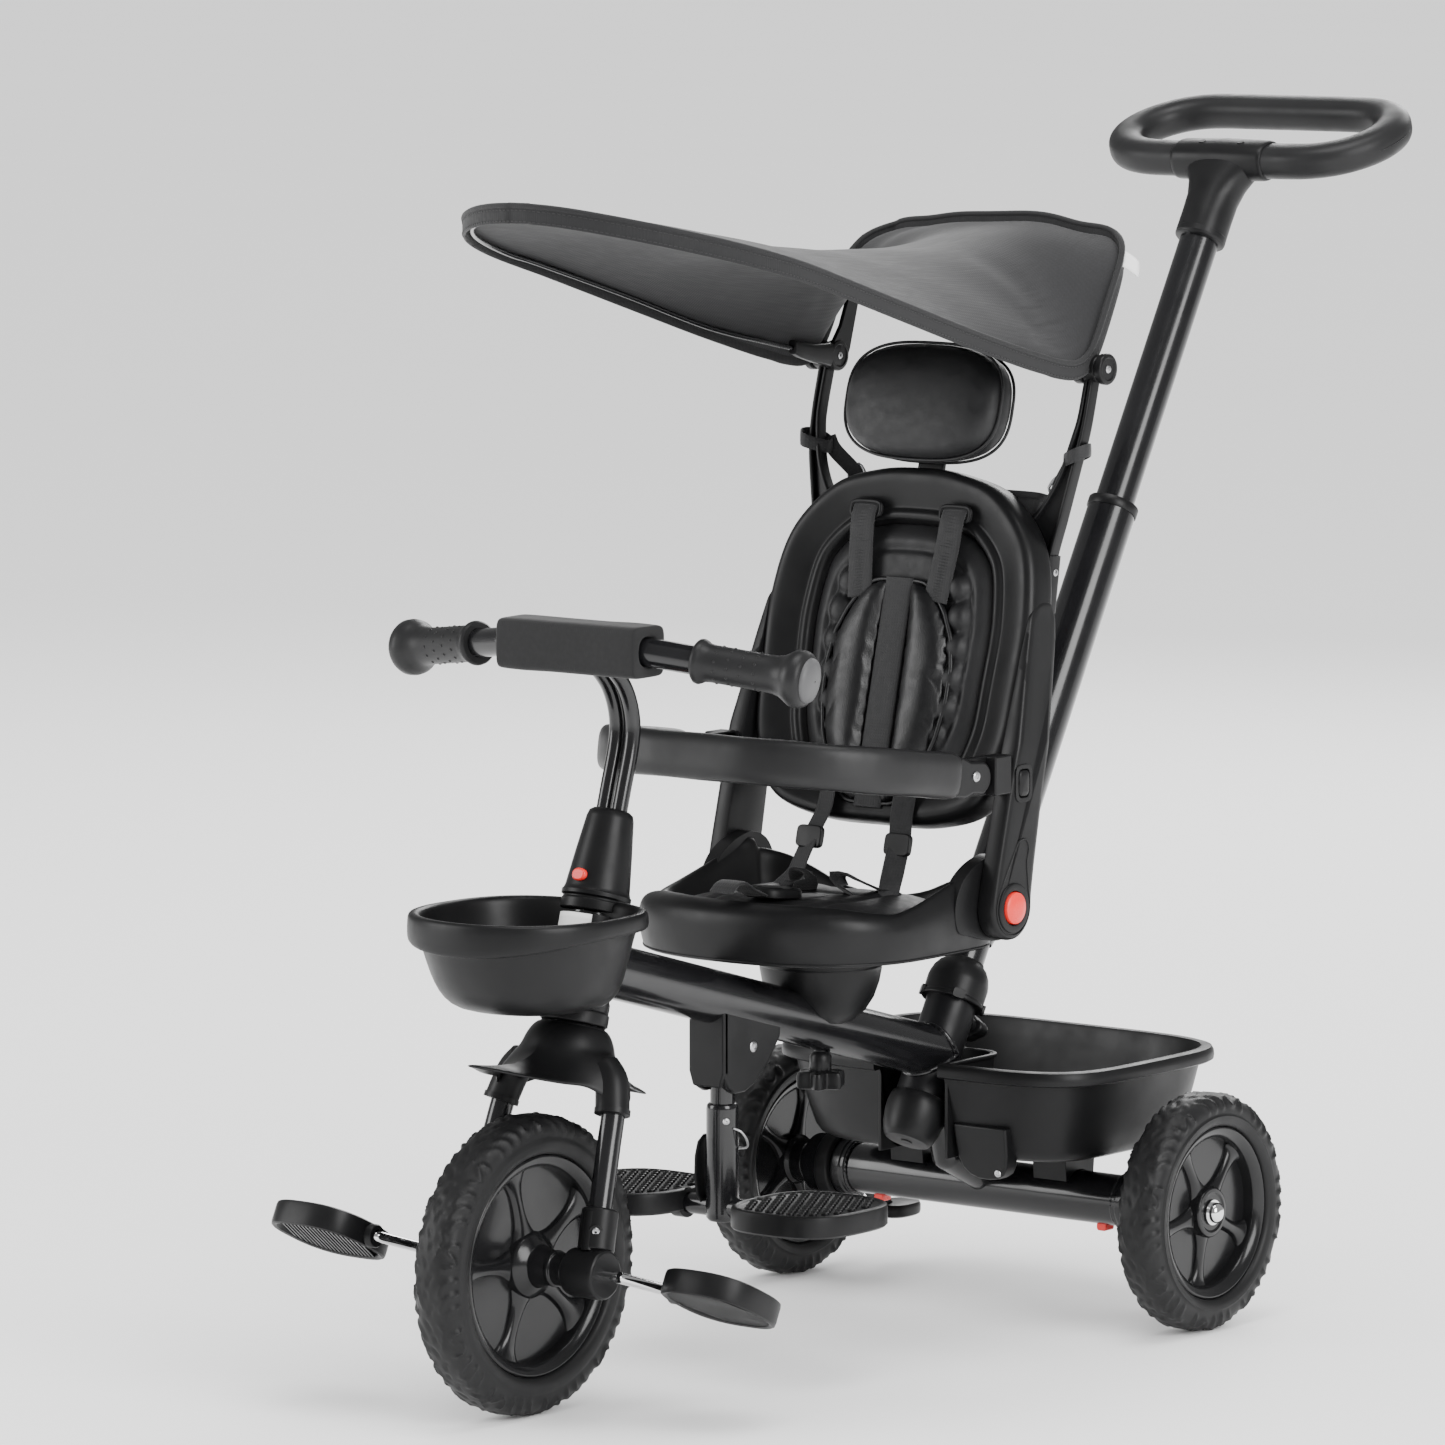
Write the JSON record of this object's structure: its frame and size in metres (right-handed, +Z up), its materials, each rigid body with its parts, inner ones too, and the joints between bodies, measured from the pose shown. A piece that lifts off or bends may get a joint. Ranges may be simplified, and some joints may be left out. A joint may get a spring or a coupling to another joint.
{
  "type": "children's tricycle",
  "caption": "Children's push tricycle with pedalled front wheel, swivelling reclining seat, padded guard rail, canopy, folding footrest, telescoping push handle and two baskets.",
  "frame": {"origin": "middle of the length and width, on the floor under the tyres", "axes": "+Z up, +X the rider's left, -Y forward, +Y towards the push handle"},
  "size_m": [0.4724, 1.1952, 1.0061],
  "materials": {
    "painted_steel": "gloss black paint",
    "bare_steel": "zinc plated",
    "chrome": "polished",
    "satin_plastic": "satin black",
    "gloss_plastic": "gloss black",
    "red_plastic": "red",
    "eva_tyre": "matt black foam tyre",
    "grip_rubber": "soft rubber",
    "foam": "soft foam skin",
    "synthetic_leather": "black synthetic leather",
    "canopy_fabric": "dark woven polyester",
    "webbing": "black webbing"
  },
  "bodies": {
    "frame": {"main_frame": "painted_steel", "rear_axle_beam": "painted_steel", "rear_axle": "bare_steel", "axle_nuts": "chrome", "socket_end_cap": "satin_plastic", "socket_collar": "satin_plastic", "push_rod_lower": "painted_steel", "rear_basket": "satin_plastic", "front_basket": "satin_plastic", "footrest_bracket": "satin_plastic", "seat_base": "satin_plastic"},
    "collar_knob": {"collar_knob": "satin_plastic"},
    "push_handle": {"push_rod_upper": "painted_steel", "push_handle": "satin_plastic"},
    "seat_knob": {"seat_knob": "satin_plastic"},
    "footrest": {"footrest_leg": "painted_steel", "footrest_sleeve": "painted_steel", "foot_plate_left": "satin_plastic", "foot_plate_right": "satin_plastic"},
    "steering": {"fork": "painted_steel", "crown_fender": "satin_plastic", "fork_shoes": "satin_plastic", "stem": "painted_steel", "stem_cover": "satin_plastic", "handlebar": "painted_steel", "handlebar_pad": "foam", "grip_left": "grip_rubber", "grip_right": "grip_rubber"},
    "stem_button": {"stem_button": "red_plastic"},
    "front_wheel": {"front_tyre": "eva_tyre", "front_hub": "gloss_plastic", "crank_axle": "chrome"},
    "pedal_left": {"pedal_left": "satin_plastic"},
    "pedal_right": {"pedal_right": "satin_plastic"},
    "rear_wheel_left": {"rear_tyre_left": "eva_tyre", "rear_hub_left": "gloss_plastic"},
    "rear_wheel_right": {"rear_tyre_right": "eva_tyre", "rear_hub_right": "gloss_plastic"},
    "brake_left": {"brake_left": "satin_plastic"},
    "brake_right": {"brake_right": "satin_plastic"},
    "seat": {"seat_pan": "satin_plastic", "seat_cushion": "synthetic_leather"},
    "backrest": {"backrest_shell": "satin_plastic", "back_pad": "synthetic_leather", "recline_arm_left": "satin_plastic", "recline_arm_right": "satin_plastic", "guard_brackets": "satin_plastic", "storage_bag": "canopy_fabric", "harness": "webbing", "canopy_post_left": "satin_plastic", "canopy_post_right": "satin_plastic"},
    "recline_button_left": {"recline_button_left": "red_plastic"},
    "recline_button_right": {"recline_button_right": "red_plastic"},
    "guard_latch_left": {"guard_latch_left": "satin_plastic"},
    "guard_latch_right": {"guard_latch_right": "satin_plastic"},
    "guard": {"guard_rail": "foam"},
    "headrest": {"headrest_post": "bare_steel", "headrest_pad": "synthetic_leather"},
    "canopy": {"canopy_frame": "painted_steel", "canopy_cloth": "canopy_fabric"}
  },
  "joints": [
    {"name": "steer", "type": "hinge", "parent": "frame", "child": "steering", "pos_m": [0, -0.40424, 0.34485], "axis": [0, 0.284, 0.9588], "range_deg": [-30, 30]},
    {"name": "stem_button_press", "type": "slide", "parent": "steering", "child": "stem_button", "axis": [0, 0.9588, -0.284], "range_m": [0, 0.0025], "stiffness_N_per_m": 800, "springref_m": -0.002},
    {"name": "front_wheel_spin", "type": "hinge", "parent": "steering", "child": "front_wheel", "pos_m": [0, -0.4776, 0.12], "axis": [1, 0, 0], "continuous": true},
    {"name": "pedal_left_spin", "type": "hinge", "parent": "front_wheel", "child": "pedal_left", "pos_m": [0.15, -0.41863, 0.10084], "axis": [1, 0, 0], "continuous": true},
    {"name": "pedal_right_spin", "type": "hinge", "parent": "front_wheel", "child": "pedal_right", "pos_m": [-0.15, -0.53657, 0.13916], "axis": [1, 0, 0], "continuous": true},
    {"name": "rear_wheel_left_spin", "type": "hinge", "parent": "frame", "child": "rear_wheel_left", "pos_m": [0.2148, 0.1448, 0.1], "axis": [1, 0, 0], "continuous": true},
    {"name": "rear_wheel_right_spin", "type": "hinge", "parent": "frame", "child": "rear_wheel_right", "pos_m": [-0.2148, 0.1448, 0.1], "axis": [1, 0, 0], "continuous": true},
    {"name": "brake_left_press", "type": "hinge", "parent": "frame", "child": "brake_left", "pos_m": [0.16, 0.1448, 0.1], "axis": [-1, 0, 0], "range_deg": [0, 15]},
    {"name": "brake_right_press", "type": "hinge", "parent": "frame", "child": "brake_right", "pos_m": [-0.16, 0.1448, 0.1], "axis": [-1, 0, 0], "range_deg": [0, 15]},
    {"name": "footrest_fold", "type": "hinge", "parent": "frame", "child": "footrest", "pos_m": [0, -0.2252, 0.25], "axis": [1, 0, 0], "range_deg": [0, 60]},
    {"name": "seat_knob_turn", "type": "hinge", "parent": "frame", "child": "seat_knob", "pos_m": [0, -0.0942, 0.22], "axis": [0, 0, 1], "range_deg": [0, 360]},
    {"name": "collar_knob_turn", "type": "hinge", "parent": "frame", "child": "collar_knob", "pos_m": [0, 0.11406, 0.23894], "axis": [0, 0.8679, -0.4967], "range_deg": [0, 360]},
    {"name": "push_rod_telescope", "type": "slide", "parent": "frame", "child": "push_handle", "axis": [0, 0.4967, 0.8679], "range_m": [-0.22, 0]},
    {"name": "seat_swivel", "type": "hinge", "parent": "frame", "child": "seat", "pos_m": [0, -0.0942, 0.336], "axis": [0, 0, 1], "range_deg": [0, 180]},
    {"name": "backrest_recline", "type": "hinge", "parent": "seat", "child": "backrest", "pos_m": [0, -0.0322, 0.3676], "axis": [1, 0, 0], "range_deg": [-20, 0]},
    {"name": "recline_button_left_press", "type": "slide", "parent": "backrest", "child": "recline_button_left", "axis": [-1, 0, 0], "range_m": [0, 0.003], "stiffness_N_per_m": 800, "springref_m": -0.002},
    {"name": "recline_button_right_press", "type": "slide", "parent": "backrest", "child": "recline_button_right", "axis": [1, 0, 0], "range_m": [0, 0.003], "stiffness_N_per_m": 800, "springref_m": -0.002},
    {"name": "guard_latch_left_press", "type": "slide", "parent": "backrest", "child": "guard_latch_left", "axis": [-1, 0, 0], "range_m": [0, 0.0022], "stiffness_N_per_m": 800, "springref_m": -0.002},
    {"name": "guard_latch_right_press", "type": "slide", "parent": "backrest", "child": "guard_latch_right", "axis": [1, 0, 0], "range_m": [0, 0.0022], "stiffness_N_per_m": 800, "springref_m": -0.002},
    {"name": "guard_lift", "type": "hinge", "parent": "backrest", "child": "guard", "pos_m": [0, -0.0732, 0.478], "axis": [-1, 0, 0], "range_deg": [0, 90]},
    {"name": "headrest_height", "type": "slide", "parent": "backrest", "child": "headrest", "axis": [0, 0.2351, 0.972], "range_m": [0, 0.04]},
    {"name": "canopy_tilt", "type": "hinge", "parent": "backrest", "child": "canopy", "pos_m": [0, 0.0928, 0.801], "axis": [-1, 0, 0], "range_deg": [-15, 25]}
  ]
}
